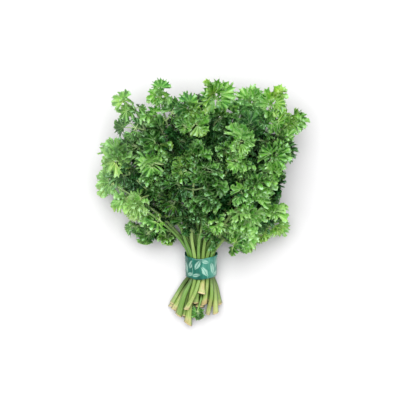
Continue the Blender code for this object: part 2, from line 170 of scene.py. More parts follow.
# Each stem's name, its tip in mm, its span, which sets how far its leaves reach, and its leaf pairs
STEM_TABLE = (
    ("top_middle", (-12, 86, 76), 40, 4), ("middle", (-6, 42, 86), 38, 3),
    ("middle_left", (-42, 52, 78), 38, 3), ("middle_right", (34, 56, 84), 38, 4),
    ("right_front", (52, 14, 74), 36, 3), ("lower_middle", (8, 4, 72), 32, 3),
    ("left_front", (-38, 22, 70), 34, 2), ("left_shoulder", (-80, 38, 54), 38, 4),
    ("left", (-86, 17, 38), 38, 3), ("lower_left", (-60, -4, 56), 34, 1),
    ("left_sprig", (-65, 91, 42), 42, 3), ("top_left", (-40, 100, 50), 40, 3),
    ("top", (16, 98, 54), 42, 3), ("top_inner", (44, 97, 47), 38, 3),
    ("top_right", (68, 92, 56), 42, 4), ("right_corner", (85, 78, 42), 40, 4),
    ("right_shoulder", (69, 42, 64), 38, 4), ("right", (75, 9, 40), 38, 4),
    ("lower_right", (67, -13, 46), 36, 3), ("low_right", (71, -24, 28), 27, 2),
    ("low_middle_right", (35, -16, 52), 26, 3), ("hanging_left", (-63, -24, 20), 26, 2),
    ("hanging_near", (-41, -32, 18), 17, 1), ("under_left", (-58, 46, 13), 40, 3),
    ("under_top", (-4, 84, 14), 40, 3), ("under_right", (54, 50, 12), 38, 3),
    ("under_near", (2, 14, 12), 32, 2),
)
LEAFY_STEMS = tuple(
    LeafyStem(name, Vector(tip) * MM, span * MM, pairs) for name, tip, span, pairs in STEM_TABLE
)
BASE_LEAF = LeafyStem("base_leaf", Vector((-3, -111, 12)) * MM, 15 * MM, 0)
BASE_STATIONS = (0, 0.35, 0.7, 1)
BASE_THINNESS = (0.75, 0.55)
BASE_ABOVE_BAND = 10 * MM


def band_frame():
    """The band's axis, towards the leaves, and its two cross directions."""
    along = Vector((0, math.cos(BAND_TILT), math.sin(BAND_TILT)))
    return along, Vector((1, 0, 0)), Vector((0, -math.sin(BAND_TILT), math.cos(BAND_TILT)))


def band_point(across, up, distance):
    """A point of the tied bundle: a spot in the band's section, and how far along its axis."""
    along, side, over = band_frame()
    flare = 1 + BAND_FLARE * distance / BAND_HEIGHT
    return BAND_CENTRE + along * distance + side * (across * flare) + over * (up * flare)


def pack_spots(count):
    """Where the stems pass the band: a sunflower spread, pushed apart inside an oval."""
    inset = BAND_WALL + STEM_BAND_RADIUS + STEM_GAP
    half = np.array([BAND_HALF_WIDTH - inset, BAND_HALF_DEPTH - inset])
    order = np.arange(count)
    radius = np.sqrt((order + 0.5) / count)
    spots = np.stack([np.cos(order * GOLDEN_ANGLE), np.sin(order * GOLDEN_ANGLE)], 1)
    spots *= radius[:, None] * half
    wanted = SPOT_GAP * STEM_BAND_RADIUS
    for _ in range(SPOT_ROUNDS):
        gaps = spots[:, None] - spots[None]
        distance = np.linalg.norm(gaps, axis=2) + np.eye(count)
        push = np.clip(wanted - distance, 0, None) * (1 - np.eye(count))
        spots += SPREAD_RATE * (gaps / distance[..., None] * push[..., None]).sum(1)
        reach = np.sqrt(((spots / half) ** 2).sum(1))
        spots /= np.maximum(reach, 1)[:, None]
    return spots


def deal_spots(stems, spots):
    """Gives each stem the spot on the side that its tip lies, by swapping until no swap helps."""
    headings = []
    for stem in stems:
        away = stem.tip - BAND_CENTRE
        forward = abs(away.y) + HEADING_AHEAD
        headings.append((away.x / forward, (away.z - HEADING_LEVEL) / forward * HEADING_RISE))
    headings = np.array(headings)
    headings /= np.abs(headings).max(0)
    places = spots / np.abs(spots).max(0)
    cost = ((headings[:, None] - places[None]) ** 2).sum(2)
    dealt = list(range(len(stems)))
    better = True
    while better:
        better = False
        for a, b in combinations(range(len(dealt)), 2):
            now = cost[a, dealt[a]] + cost[b, dealt[b]]
            swapped = cost[a, dealt[b]] + cost[b, dealt[a]]
            if swapped < now - LEAST_GAIN:
                dealt[a], dealt[b] = dealt[b], dealt[a]
                better = True
    return [spots[i] for i in dealt]


def bezier(start, start_pull, end_pull, end, t):
    s = 1 - t
    return s * s * s * start + 3 * s * s * t * start_pull + 3 * s * t * t * end_pull + t * t * t * end


def outward(point):
    """The way that a leaf faces at a point of the crown."""
    away = point - CROWN_CENTRE
    facing = Vector([away[i] / CROWN_HALF[i] ** 2 for i in range(3)]).normalized()
    facing.z += FACE_UP * max(facing.z - FACE_UP_FROM, 0)
    return facing.normalized()


def hump(place, height, middle, width):
    return height * math.exp(-(((place - middle) / width) ** 2))


def stem_path(stem, spot, number):
    """A stem's line from its cut end, through the band, to its tip."""
    along = band_frame()[0]
    across, up = spot
    half = BAND_HEIGHT / 2
    if stem is BASE_LEAF:
        above = [band_point(across, up, half + BASE_ABOVE_BAND), band_point(across, up, half)]
        low = band_point(across, up, -half)
        return above + [low.lerp(stem.tip, share) for share in BASE_STATIONS]
    place = across / BAND_HALF_WIDTH
    cut_length = CUT_LENGTH + CUT_STEPS[number % len(CUT_STEPS)]
    cut_length += SIDE_CUT * abs(place)
    cut_length += hump(place, *LONG_CUT)
    if up > 0:
        cut_length -= hump(place, *SHORT_CUT)
    cut = band_point(across * CUT_SPREAD[0], up * CUT_SPREAD[1], -cut_length)
    cut.x += CUT_SHIFT + CUT_SWAYS[number % len(CUT_SWAYS)]
    low, high = band_point(across, up, -half), band_point(across, up, half)
    length = (stem.tip - high).length
    fan = Vector((across, 0, up)) / BAND_HALF_WIDTH
    leaving = (along + SWEEP_FAN * fan).normalized()
    arriving = ((stem.tip - high).normalized() + SWEEP_FACING * outward(stem.tip)).normalized()
    start_pull = high + leaving * length * SWEEP_START
    end_pull = stem.tip - arriving * length * SWEEP_END
    sweep = [bezier(high, start_pull, end_pull, stem.tip, t) for t in SWEEP_STATIONS]
    return [cut, cut.lerp(low, CUT_JOINT), low, high, *sweep]


def stem_radii(stem, count, number):
    """Thick at the cut end, even in the band and slender at the tip."""
    if stem is BASE_LEAF:
        return np.linspace(*BASE_THINNESS, count) * STEM_BAND_RADIUS
    above = np.linspace(0, 1, count - 3)
    tapering = STEM_BAND_RADIUS + (STEM_TIP_RADIUS - STEM_BAND_RADIUS) * above**STEM_TAPER
    cut = STEM_CUT_RADII[number % len(STEM_CUT_RADII)]
    return np.concatenate([[cut, (cut + STEM_BAND_RADIUS) / 2, STEM_BAND_RADIUS], tapering])


def inside_band(points, thick):
    """How far each point must move to keep its stem clear of the band's inner wall."""
    along, side, over = (np.array(way) for way in band_frame())
    away = points - np.array(BAND_CENTRE)
    distance, across, up = away @ along, away @ side, away @ over
    flare = 1 + BAND_FLARE * distance / BAND_HEIGHT
    inset = BAND_WALL + STEM_GAP + thick
    reach = np.hypot(across / (BAND_HALF_WIDTH * flare - inset), up / (BAND_HALF_DEPTH * flare - inset))
    over_reach = np.clip(1 - 1 / np.maximum(reach, 1e-6), 0, None)
    over_reach *= np.abs(distance) < BAND_HEIGHT / 2 + BAND_END_ROOM
    return -over_reach[:, None] * (across[:, None] * side + up[:, None] * over)


def spread_stems(paths, radii):
    """Pushes the stems' lines apart, and off the table, until none touches another."""
    lines = [np.array(path) for path in paths]
    owner, weights, thick = [], [], []
    for number, line in enumerate(lines):
        count = len(line)
        at = np.linspace(0, count - 1, (count - 1) * SPREAD_STEPS + 1)
        low = np.minimum(at.astype(int), count - 2)
        matrix = np.zeros((len(at), count))
        matrix[np.arange(len(at)), low] = 1 - (at - low)
        matrix[np.arange(len(at)), low + 1] = at - low
        weights.append(matrix)
        owner.append(np.full(len(at), number))
        thick.append(matrix @ radii[number])
    owner, thick = np.concatenate(owner), np.concatenate(thick)
    for turn in range(SPREAD_ROUNDS):
        dense = [matrix @ line for matrix, line in zip(weights, lines)]
        points = np.concatenate(dense)
        tangents = np.concatenate([np.gradient(line, axis=0) for line in dense])
        step = np.linalg.norm(tangents, axis=1)
        tangents /= step[:, None]
        if turn % SPREAD_REFRESH == 0:
            gaps = np.linalg.norm(points[:, None] - points[None], axis=2)
            reach = thick[:, None] + thick[None] + SPREAD_REACH
            one, two = np.nonzero((gaps < reach) & (owner[:, None] != owner[None]))
        apart = points[one] - points[two]
        lengthways = (apart * tangents[two]).sum(1)
        sideways = apart - lengthways[:, None] * tangents[two]
        distance = np.linalg.norm(sideways, axis=1) + 1e-9
        wanted = thick[one] + thick[two] + STEM_GAP
        push = np.where(np.abs(lengthways) < SPREAD_ABREAST * step[two], wanted - distance, 0)
        push = SPREAD_RATE * np.clip(push, 0, None) / distance
        moves = np.stack([np.bincount(one, push * way, len(points)) for way in sideways.T], 1)
        moves[:, 2] += np.clip(TABLE_WANTED * thick - points[:, 2], 0, None)
        moves += inside_band(points, thick)
        for number, matrix in enumerate(weights):
            mine = moves[owner == number]
            lines[number] = lines[number] + (matrix.T @ mine) / matrix.sum(0)[:, None]
    for line, radius in zip(lines, radii):
        line[:, 2] = np.maximum(line[:, 2], TABLE_LEAST * radius)
    return [[Vector(point) for point in np.round(line, 6)] for line in lines]


def tube(points, radii, sides):
    """A closed tube along a line: points, then triangles."""
    made, faces = [], []
    across = None
    count = len(points)
    for k, point in enumerate(points):
        before, after = points[max(k - 1, 0)], points[min(k + 1, count - 1)]
        tangent = (after - before).normalized()
        if across is None:
            across = tangent.orthogonal().normalized()
        across = (across - tangent * across.dot(tangent)).normalized()
        over = tangent.cross(across)
        for side in range(sides):
            turn = 2 * math.pi * side / sides
            made.append(point + (across * math.cos(turn) + over * math.sin(turn)) * radii[k])
    for k in range(count - 1):
        for side in range(sides):
            a = k * sides + side
            b = k * sides + (side + 1) % sides
            faces += [(a, b, b + sides), (a, b + sides, a + sides)]
    last = (count - 1) * sides
    for side in range(1, sides - 1):
        faces += [(0, side + 1, side), (last, last + side, last + side + 1)]
    return made, faces


def blade_middle(leaf):
    """The outline of a leaf, counterclockwise, halfway through its thickness."""
    left = leaf.normal.cross(leaf.axis)
    neck = leaf.root + leaf.axis * leaf.stalk
    half_width = left * (STALK_WIDTH / 2)
    fan = []
    for degrees, reach in FAN_OUTLINE:
        angle = math.radians(degrees)
        lift = CUP_SHARE * reach * reach + WAVE_SHARE * (1 if reach > NOTCH_REACH else -1)
        flat = leaf.axis * math.cos(angle) + left * math.sin(angle)
        fan.append(neck + (flat * reach + leaf.normal * lift) * leaf.fan)
    return [leaf.root - half_width, neck - half_width, *fan, neck + half_width, leaf.root + half_width]


def blade(leaf, extra=0.0):
    """A closed blade, split alike on both faces, and kept above the table."""
    half = BLADE_THICKNESS / 2 + extra
    middle = blade_middle(leaf)
    for point in middle[1:-1]:
        point.z = max(point.z, BLADE_THICKNESS / 2)
    count = len(middle)
    points = [point + leaf.normal * half for point in middle]
    points += [point - leaf.normal * half for point in middle]
    neck_right, neck_left, root_left = 1, count - 2, count - 1
    centre = count // 2
    split = [(0, neck_right, neck_left), (0, neck_left, root_left), (neck_right, centre, neck_left)]
    split += [(neck_right, k, k + 1) for k in range(2, centre)]
    split += [(neck_left, k, k + 1) for k in range(centre, count - 3)]
    faces = []
    for a, b, c in split:
        faces += [(a, b, c), (a + count, c + count, b + count)]
    for k in range(count):
        after = (k + 1) % count
        faces += [(k, k + count, after + count), (k, after + count, after)]
    return points, faces


def turned(vector, axis, angle):
    return Quaternion(axis, angle) @ vector


def bend_above_table(leaf):
    """Turns a leaf up until it clears the table, as one that lies on it does."""
    reach = leaf.stalk + leaf.fan
    for _ in range(BEND_TRIES):
        below = BLADE_THICKNESS / 2 - min(point.z for point in blade_middle(leaf)[2:-2])
        level = leaf.axis.cross(UP)
        if below <= 0 or level.length < UPRIGHT:
            break
        turn = Quaternion(level.normalized(), min(BEND_RATE * below / reach, MOST_BEND))
        leaf = leaf._replace(axis=turn @ leaf.axis, normal=turn @ leaf.normal)
    return leaf


def tree_of(shapes):
    """A search tree of closed shapes, each its points and triangles."""
    points, faces = [], []
    for made, triangles in shapes:
        first = len(points)
        points += made
        faces += [tuple(first + i for i in face) for face in triangles]
    return BVHTree.FromPolygons(points, faces, all_triangles=True)


def path_point(path, share):
    """The point and heading at a share of the path's length."""
    lengths = [0.0]
    for a, b in zip(path, path[1:]):
        lengths.append(lengths[-1] + (b - a).length)
    wanted = share * lengths[-1]
    for k in range(1, len(path)):
        if lengths[k] >= wanted or k == len(path) - 1:
            part = (wanted - lengths[k - 1]) / (lengths[k] - lengths[k - 1])
            return path[k - 1].lerp(path[k], part), (path[k] - path[k - 1]).normalized()


def place_leaf(others, own, root, way, facing, stalk, fan, draw):
    """Tries leaves at a root until one clears the other stems, best clear of its own stem's too."""
    fallback = None
    for attempt in range(PLACE_TRIES):
        ease = attempt / PLACE_TRIES
        across = way.cross(facing).normalized()
        pitch = draw.uniform(*PITCH_RANGE) + draw.gauss(0, LATE_PITCH * ease)
        yaw = draw.gauss(0, YAW + LATE_YAW * ease)
        roll = draw.gauss(0, ROLL + LATE_ROLL * ease)
        axis = turned(turned(way, across, pitch), facing, yaw).normalized()
        normal = turned(turned(facing, across, pitch), axis, roll)
        normal = (normal - axis * normal.dot(axis)).normalized()
        size = draw.uniform(*SIZE_RANGE) * (1 - LATE_SHRINK * ease)
        leaf = bend_above_table(Leaf(root, axis, normal, stalk * size, fan * size))
        if others.overlap(tree_of([blade(leaf, BLADE_CLEARANCE)])):
            continue
        near = OWN_SHARE * stalk * size
        outer = leaf._replace(root=root + axis * near, stalk=near)
        if tree_of(own).overlap(tree_of([blade(outer)])):
            fallback = fallback or leaf
            continue
        return leaf
    return fallback


def grow_leaves(stem, path, skin, others, draw):
    """The leaves of one leafy stem: pairs along its rib and one at its tip."""
    length = sum((b - a).length for a, b in zip(path, path[1:]))
    bearing = min(BEARING_SPANS * stem.span / length, MOST_BEARING)
    fan = FAN_SHARE * stem.span
    leaves, own = [], [skin]

    def put(place, turn, stalk, size):
        root, heading = path_point(path, 1 - bearing * (1 - place))
        facing = outward(root)
        facing = (facing - heading * facing.dot(heading)).normalized()
        way = turned(heading, facing, turn)
        made = place_leaf(others, own, root, way, facing, stalk, size, draw)
        if made:
            leaves.append(made)
            own.append(blade(made))

    put(1, 0, TIP_STALK * stem.span, fan)
    for place in PAIR_PLACES[stem.pairs]:
        stalk = stem.span * (PAIR_STALK[0] + PAIR_STALK[1] * place)
        for hand in (-1, 1):
            put(place, hand * draw.uniform(*PAIR_TURN), stalk, fan * (1 - PAIR_SHRINK * place))
    return leaves


def grow_bunch():
    """Every leafy stem with its path, radii and leaves."""
    stems = [*LEAFY_STEMS, BASE_LEAF]
    spots = deal_spots(stems, pack_spots(len(stems)))
    paths = [stem_path(stem, spot, i) for i, (stem, spot) in enumerate(zip(stems, spots))]
    radii = [stem_radii(stem, len(path), i) for i, (stem, path) in enumerate(zip(stems, paths))]
    paths = spread_stems(paths, radii)
    placed = [("tie_band", band_shape())]
    for stem, path, radius in zip(stems, paths, radii):
        placed.append((stem.name, tube(path, radius + BLADE_CLEARANCE, STEM_SIDES)))
    grown = []
    for number, (stem, path, radius) in enumerate(zip(stems, paths, radii)):
        draw = random.Random(SEED + number)
        others = tree_of([shape for owner, shape in placed if owner != stem.name])
        leaves = grow_leaves(stem, path, tube(path, radius, STEM_SIDES), others, draw)
        placed += [(stem.name, blade(leaf)) for leaf in leaves]
        grown.append((stem, path, radius, leaves))
    return grown


def band_shape():
    """The tape: a flared oval ring, thicker where its end laps over its start."""
    points, faces = [], []
    for distance in (-BAND_HEIGHT / 2, BAND_HEIGHT / 2):
        for inner in (False, True):
            for side in range(BAND_SIDES):
                angle = 2 * math.pi * side / BAND_SIDES
                lapped = 0 <= angle - BAND_LAP_START <= BAND_LAP_ANGLE
                inset = BAND_WALL if inner else -BAND_LAP_STEP * lapped
                across = (BAND_HALF_WIDTH - inset) * math.cos(angle)
                up = (BAND_HALF_DEPTH - inset) * math.sin(angle)
                points.append(band_point(across, up, distance))
    low_out, low_in, high_out, high_in = (k * BAND_SIDES for k in range(4))
    for side in range(BAND_SIDES):
        after = (side + 1) % BAND_SIDES
        for a, b in ((low_out, high_out), (high_in, low_in), (high_out, high_in), (low_in, low_out)):
            faces += [(a + side, a + after, b + after), (a + side, b + after, b + side)]
    return points, faces


# The leaflets: ruffled fans, in shares of their length
RINGS = np.array([0.08, 0.34, 0.58, 0.78, 0.91, 1.0])
COLUMNS = 60
LEAFLET_HALF_ANGLE = math.radians(84)
WIDTH_RANGE = (0.85, 1.1)
FOLDS = (3.8, 5.6)
FOLD_HEIGHT = (0.17, 0.28)
FOLD_LEAN = 0.10
FOLD_VARIETY = 0.45
FOLD_SWELLS = 1.7
CURL_RANGE = (0.7, 1.25)
LOBE_DEPTH = 0.40
LOBE_POINT = 0.55
LOBE_SHIFT = 0.5
DEEPEST_CUT = 0.75
LOBE_VARIETY = (0.45, 1.35)
REACH_VARIETY = 0.12
TOOTH_DEPTH = 0.15
TEETH = 3
CRIMPS = 3.1
CRIMP_HEIGHT = 0.075
LEAFLET_CUP = (0.0, 0.35)
LEAFLET_SIDE_RISE = (0.05, 0.35)

# Where the leaflets stand on a leaf: turn, distance from its neck and length, as shares of its fan
LEAFLETS = (
    (0, 0.29, 0.67), (-48, 0.18, 0.62), (48, 0.18, 0.62), (-100, 0.10, 0.55), (100, 0.10, 0.55),
)
TURN_SPREAD = math.radians(13)
PITCH_MIDDLE = 0.15
PITCH_SPREAD = math.radians(26)
ROLL_SPREAD = math.radians(30)
LENGTH_RANGE = (0.76, 1.22)
LOOSE_STEMS = {"left_sprig": (1.75, 0.68), "top_left": (1.3, 0.8), "base_leaf": (1.2, 1.5)}

# A leaf on a long stalk bears one more leaflet on it, and one on a short stalk two more at its neck
SHORT_STALK = 0.3
INNER_PLACE = (0.45, 0.75)
INNER_TURN = (0.9, 1.5)
INNER_PITCH = (0.2, 0.3)
INNER_ROLL = 0.4
INNER_SHIFT = 0.5 * MM
INNER_LENGTH = 0.42
NECK_LEAFLETS = ((-70, 0.9), (55, 0.75))
NECK_SPREADS = (0.5, 0.15, 0.3)
NECK_PLACE = (-0.05, 0.12)
NECK_LENGTH = 0.36

# Where the stems lie bare, seen from above: leaflets are small near this line, in mm
BARE_LINE = ((-16, -44), (-26, -30), (-38, -14), (-50, 2))
BARE_STEPS = (0, 0.25, 0.5, 0.75, 1)
BARE_PLACES = [
    (a[0] + share * (b[0] - a[0]), a[1] + share * (b[1] - a[1]))
    for a, b in zip(BARE_LINE, BARE_LINE[1:])
    for share in BARE_STEPS
]
BARE_REACH = 9 * MM
BARE_LEVEL = 30 * MM
BARE_SHARE = 0.32

# The stalks
STALK_RADIUS = 1.05 * MM
STALK_END_RADIUS = 0.75 * MM
RIB_RADIUS = 0.5 * MM
STALK_BOW = (-0.03, 0.06)
STALK_STEPS = 5
STALK_ALONG = 150  # mm: a stalk counts as this far up its stem
STALK_SIDES = 6

# The stems: grooved, with a cut face that is slanted and hollow in the middle
STEM_COLUMNS = 18
STEM_STEPS = 5
GROOVES = 6
GROOVE_DEPTH = 0.07
CUT_FACE = ((-0.10, 0.05), (-0.14, 0.35), (-0.04, 0.72), (0.0, 0.92), (0.12, 1.02))
CUT_SLANT = 0.65
SLANT_REACH = 4
CUT_FLARE = 0.24
FLARE_RINGS = 6
FACE_DEPTH = 1.3
STEM_LIFT = 0.2 * MM

# Places where the crown shows pale, yellow-green leaves, in mm seen from above
PALE_PLACES = (
    (38, 68), (30, 38), (-38, 12), (47, -33), (55, -5), (70, 92),
    (-56, 112), (-90, 36), (-98, 14), (-74, -8), (4, 9), (-14, 34),
)
PALE_REACH = 14 * MM
PALE_LEVEL = 24 * MM
PALE_SHARE = 0.38
LOW_PALE_SHARE = 0.4

# Places where the leaves are darkened as painted shade, mostly hollows between them, in mm seen from
# above
SHADE_PLACES = (
    (-4, 62), (-6, 50), (39, 55), (-26, 22), (51, 17), (-34, -2),
    (8, 22), (30, -2), (-44, 48), (-4, -124), (88, 26), (68, 8),
)
SHADE_REACH = 15 * MM
SHADE_SHARE = 0.65

# How leaves darken with their depth under the crown's skin, as painted shade, and how much their tints
# differ
LIT_DEPTH = 6 * MM
DARK_DEPTH = 40 * MM
SKIN_FALL = 0.35
SKIN_FALL_REACH = 60 * MM
RIM_START = 0.65
RIM_FALL = 45 * MM
DEPTH_SHADE = 0.72
TINT_MIDDLE = 0.66
TINT_SPREAD = 0.20
LEAST_TINT = 0.02
MOST_TINT = 0.8
LEAFLET_TINT = 0.12

# The part of each grid's bake cell that stays empty at each side
BAKE_MARGIN = 0.04

# An edge that would just touch the table is lifted by half of this, and one higher up by less
EDGE_LIFT = 2.0 * MM

# The camera looks straight down: 1 mm is 1 pixel at the crown's middle height
IMAGE_SIDE = 400
SENSOR = 36
CAMERA_PLACE = (-0.001, 0.0025, 1.2)
CROWN_LEVEL = 0.05

# The stage
FLOOR_SIDE = 8
FLOOR_DARK = (0.665, 0.659, 0.667)
FLOOR_LIGHT = (0.675, 0.669, 0.679)
SKY_STRENGTH = 0.46
KEY_PLACE = (-0.10, 0.28, 1.45)
KEY_SIZE = 1.8
KEY_POWER = 38


def fill(target, key, values, kind=np.float32):
    target.foreach_set(key, np.ascontiguousarray(values, kind).ravel())


def add_object(name, data):
    """A new object in the scene."""
    made = bpy.data.objects.new(name, data)
    bpy.context.scene.collection.objects.link(made)
    return made


def build_mesh(name, grids, materials):
    """The mesh object of some grids, each with its own cell in the bake's map."""
    points = np.concatenate([grid.points.reshape(-1, 3) for grid in grids])
    places = np.concatenate([grid.place.reshape(-1, 3) for grid in grids])
    tints = np.concatenate([np.full(grid.points.size // 3, grid.tint) for grid in grids])
    cells = math.ceil(math.sqrt(len(grids)))
    corners, maps, kinds = [], [], []
    first = 0
    for number, grid in enumerate(grids):
        rows, columns = grid.points.shape[:2]
        across = columns if grid.closed else columns - 1
        row, column = np.meshgrid(np.arange(rows - 1), np.arange(across), indexing="ij")
        row, column = row.ravel(), column.ravel()
        quad_rows = np.stack([row, row, row + 1, row + 1], 1)
        quad_columns = np.stack([column, column + 1, column + 1, column], 1)
        corners.append(first + quad_rows * columns + quad_columns % columns)
        cell = np.array([number % cells, number // cells])
        inside = np.stack([quad_columns / across, quad_rows / (rows - 1)], 2)
        maps.append((cell + BAKE_MARGIN + (1 - 2 * BAKE_MARGIN) * inside) / cells)
        kinds.append(np.full(len(row), grid.kind))
        first += rows * columns
    corners = np.concatenate(corners)
    mesh = bpy.data.meshes.new(name)
    mesh.vertices.add(len(points))
    mesh.loops.add(corners.size)
    mesh.polygons.add(len(corners))
    fill(mesh.vertices, "co", points)
    fill(mesh.loops, "vertex_index", corners, np.int32)
    fill(mesh.polygons, "loop_start", np.arange(0, corners.size, 4), np.int32)
    fill(mesh.polygons, "material_index", np.concatenate(kinds), np.int32)
    mesh.update(calc_edges=True)
    mesh.shade_smooth()
    fill(mesh.uv_layers.new(name="OFBake").uv, "vector", np.concatenate(maps))
    fill(mesh.attributes.new("tint", "FLOAT", "POINT").data, "value", tints)
    fill(mesh.attributes.new("place", "FLOAT_VECTOR", "POINT").data, "vector", places)
    for made in materials:
        mesh.materials.append(made)
    return add_object(name, mesh)


def smooth_line(points, steps):
    """A Catmull-Rom curve through points, each a row of numbers."""
    points = np.asarray(points, float)
    padded = np.vstack([2 * points[0] - points[1], points, 2 * points[-1] - points[-2]])
    made = []
    for k in range(len(points) - 1):
        a, b, c, d = padded[k : k + 4]
        for t in np.arange(steps) / steps:
            pull = (2 * a - 5 * b + 4 * c - d) * t * t + (3 * b - a - 3 * c + d) * t * t * t
            made.append(0.5 * (2 * b + (c - a) * t + pull))
    return np.vstack([made, points[-1]])


def ring_frames(line):
    """A tangent and two cross directions at each point of a line, without twist."""
    tangents = np.gradient(line, axis=0)
    tangents /= np.linalg.norm(tangents, axis=1)[:, None]
    across = np.cross(tangents[0], [0.3, 0.2, 1.0])
    frames = []
    for tangent in tangents:
        across = across - tangent * (across @ tangent)
        across = across / np.linalg.norm(across)
        frames.append((tangent, across, np.cross(tangent, across)))
    return np.array(frames)


def tube_grid(line, radii, columns, grooves=0.0, cut=None):
    """Rings along a line. cut gives the slant of a hollow cut face at its start."""
    frames = ring_frames(line)
    turn = 2 * math.pi * np.arange(columns) / columns
    cos, sin = np.cos(turn), np.sin(turn)
    swell = 1 + grooves * np.cos(GROOVES * turn)
    ring = cos[:, None] * frames[:, None, 1] + sin[:, None] * frames[:, None, 2]
    points = line[:, None] + ring * (radii[:, None] * swell)[..., None]
    lengths = np.concatenate([[0], np.cumsum(np.linalg.norm(np.diff(line, axis=0), axis=1))])
    along = np.broadcast_to(lengths[:, None], points.shape[:2])
    if cut is not None:
        tangent = frames[0, 0]
        rows = []
        for rise, share in CUT_FACE:
            out = ring[0] * (radii[0] * share * swell)[:, None]
            slant = (rise + cut * cos * min(share, 1)) * radii[0]
            rows.append(line[0] + out + tangent * slant[:, None])
        face = np.array(rows)
        slide = np.clip(1 - lengths / (SLANT_REACH * radii[0]), 0, 1)[:, None] * cut * radii[0] * cos
        points = np.concatenate([face, (points + tangent * slide[..., None])[1:]])
        depth = np.array([(share - FACE_DEPTH) * radii[0] for _, share in CUT_FACE])
        along = np.concatenate([np.broadcast_to(depth[:, None], face.shape[:2]), along[1:]])
    return points, np.stack(np.broadcast_arrays(cos, sin, along / MM), 2)


def wander(u, draw, low, high, steps=8):
    """A value that wanders between low and high as u goes from -1 to 1."""
    stops = [draw.uniform(low, high) for _ in range(steps)]
    return np.interp(u, np.linspace(-1, 1, steps), stops)


def leaflet_grid(draw, curl):
    """A ruffled leaflet of length 1: x forward, y left, z up."""
    r = RINGS[:, None]
    u = np.linspace(-1, 1, COLUMNS + 1)[None]
    folds = draw.uniform(*FOLDS)
    swing = math.pi * folds * u + draw.uniform(0, 2 * math.pi)
    lobe_turn = swing + draw.uniform(-LOBE_SHIFT, LOBE_SHIFT)
    lobe = np.abs(np.cos(lobe_turn)) ** LOBE_POINT
    tooth = np.abs((lobe_turn / math.pi * TEETH) % 1 - 0.5) * 2
    variety = wander(u, draw, *LOBE_VARIETY)
    depth = LOBE_DEPTH * variety * (1 - lobe) + TOOTH_DEPTH * (1 - tooth) * lobe
    uneven_edge = wander(u, draw, 1 - REACH_VARIETY, 1 + REACH_VARIETY)
    reach = r * (1 - np.minimum(depth, DEEPEST_CUT) * r**2) * uneven_edge
    wide = draw.uniform(*WIDTH_RANGE) * LEAFLET_HALF_ANGLE
    angle = wide * u - FOLD_LEAN * r * np.sin(2 * swing)
    high = curl * draw.uniform(*FOLD_HEIGHT)
    uneven = 1 + FOLD_VARIETY * np.sin(FOLD_SWELLS * math.pi * u + draw.uniform(0, 2 * math.pi))
    crest = r * np.sin(swing)
    lift = high * uneven * r**0.4 * crest
    lift = lift + CRIMP_HEIGHT * r**4 * np.sin(CRIMPS * swing + draw.uniform(0, 2 * math.pi))
    lift = lift + draw.uniform(*LEAFLET_CUP) * r**2 + draw.uniform(*LEAFLET_SIDE_RISE) * u**2 * r
    points = np.stack([reach * np.cos(angle), reach * np.sin(angle), lift + 0 * angle], 2)
    place = np.stack(np.broadcast_arrays(lobe_turn / math.pi, r, crest), 2)
    return points, place


def turned_frame(leaf, turn, pitch, roll):
    """A leaflet's frame: turned about the leaf's normal, then pitched and rolled. Rows: x, y, z."""
    x = turned(leaf.axis, leaf.normal, turn)
    y = leaf.normal.cross(x)
    x, z = turned(x, y, -pitch), turned(leaf.normal, y, -pitch)
    return np.array([x, turned(y, x, roll), turned(z, x, roll)])


def above_table(points):
    """Lifts what would dip into the table, and leaves the rest nearly where it is."""
    z = points[..., 2]
    points[..., 2] = 0.5 * (z + np.sqrt(z * z + EDGE_LIFT * EDGE_LIFT))
    return points


def nearness(point, places, reach):
    """1 at the nearest of some places seen from above, falling to 0 at a distance."""
    return max(0, *(1 - math.hypot(point.x - x * MM, point.y - y * MM) / reach for x, y in places))


def paleness(point):
    """How yellow-green the crown is at a point."""
    return nearness(point, PALE_PLACES, PALE_REACH) * (1 if point.z > PALE_LEVEL else LOW_PALE_SHARE)


def buried(point):
    """How deep a point lies under the crown's skin, seen from above: 0 at the skin, 1 far down."""
    away = math.hypot(*((point[i] - CROWN_CENTRE[i]) / CROWN_HALF[i] for i in range(2)))
    skin = CROWN_CENTRE.z + CROWN_HALF.z * math.sqrt(max(1 - away * away, 0))
    skin -= RIM_FALL * max(away - RIM_START, 0)
    skin -= SKIN_FALL * min(max(CROWN_CENTRE.y - point.y, 0), SKIN_FALL_REACH)
    return min(max((skin - point.z - LIT_DEPTH) / (DARK_DEPTH - LIT_DEPTH), 0), 1)


def bared(point):
    """The share of its length that a leaflet keeps at a point, by its place seen from above."""
    bare = nearness(point, BARE_PLACES, BARE_REACH) > 0 and point.z > BARE_LEVEL
    return BARE_SHARE if bare else 1


def add_leaflet(piece, base, length, basis, tint, curl, draw):
    length *= bared(base + Vector(basis[0]) * (0.5 * length))
    sheet, place = leaflet_grid(draw, curl)
    points = np.asarray(base) + (sheet * length) @ basis
    tint += draw.uniform(-LEAFLET_TINT, LEAFLET_TINT)
    piece.append(Grid(above_table(points), place, tint, 0, False))


def add_stalk(piece, start, end, bow, radii, tint):
    """A thin bowed stalk between two points."""
    share = np.linspace(0, 1, STALK_STEPS)[:, None]
    line = np.asarray(start) * (1 - share) + np.asarray(end) * share
    line = line + np.asarray(bow) * 4 * share * (1 - share)
    thick = np.linspace(*radii, len(line))
    points, place = tube_grid(line, thick, STALK_SIDES)
    place[..., 2] += STALK_ALONG
    piece.append(Grid(above_table(points), place, tint, 1, True))


